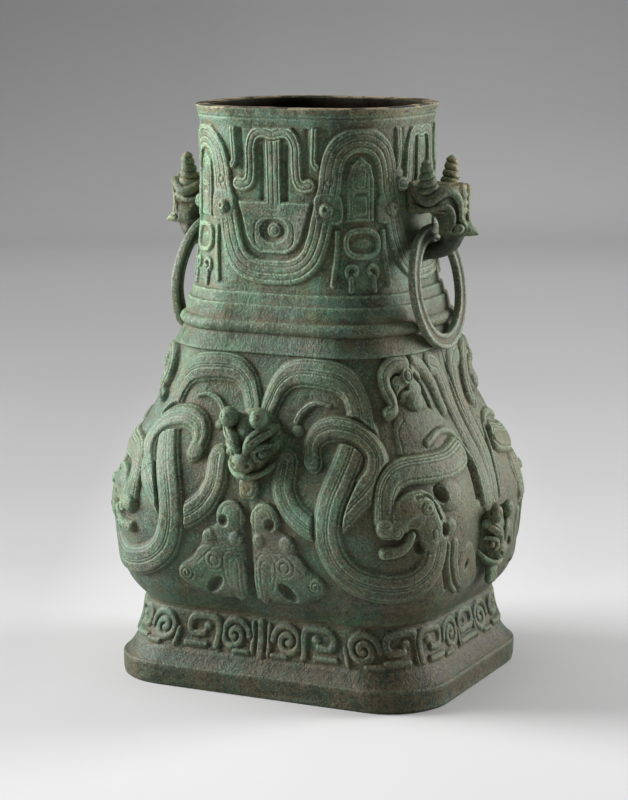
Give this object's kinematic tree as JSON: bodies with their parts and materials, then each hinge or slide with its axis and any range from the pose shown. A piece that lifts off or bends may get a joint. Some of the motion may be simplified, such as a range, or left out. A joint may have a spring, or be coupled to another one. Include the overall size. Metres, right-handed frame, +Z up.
{
  "type": "bronze ritual wine vessel",
  "caption": "Tall open square-bodied bronze wine vessel with a bellied serpent-relief body, stepped foot, beast-head loop handles and loose swinging rings.",
  "frame": {"origin": "middle of the foot's underside, on the ground", "axes": "+Z up to the mouth, -Y out of the wide face seen in the picture, +X to the right-hand handle"},
  "size_m": [0.3796, 0.321, 0.52],
  "materials": {
    "patinated_bronze_body": "dull green patina",
    "bronze_spacer": "dull green patina",
    "patinated_bronze_handle": "dull green-brown patina",
    "patinated_bronze_horn": "dull green-brown patina",
    "patinated_bronze_ring": "dull green patina, worn",
    "fired_clay_core": "matte"
  },
  "bodies": {
    "vessel": {"vessel_body": "patinated_bronze_body", "floor_spacers": "bronze_spacer", "handle_right": "patinated_bronze_handle", "handle_core_right": "fired_clay_core", "horn_front_right": "patinated_bronze_horn", "horn_back_right": "patinated_bronze_horn", "handle_left": "patinated_bronze_handle", "handle_core_left": "fired_clay_core", "horn_front_left": "patinated_bronze_horn", "horn_back_left": "patinated_bronze_horn"},
    "ring_right": {"ring_right": "patinated_bronze_ring"},
    "ring_left": {"ring_left": "patinated_bronze_ring"}
  },
  "joints": [
    {"name": "ring_right_swing", "type": "hinge", "parent": "vessel", "child": "ring_right", "pos_m": [0.111, 0, 0.40815], "axis": [0, -1, 0], "range_deg": [0, 90]},
    {"name": "ring_left_swing", "type": "hinge", "parent": "vessel", "child": "ring_left", "pos_m": [-0.111, 0, 0.40815], "axis": [0, 1, 0], "range_deg": [0, 90]}
  ]
}
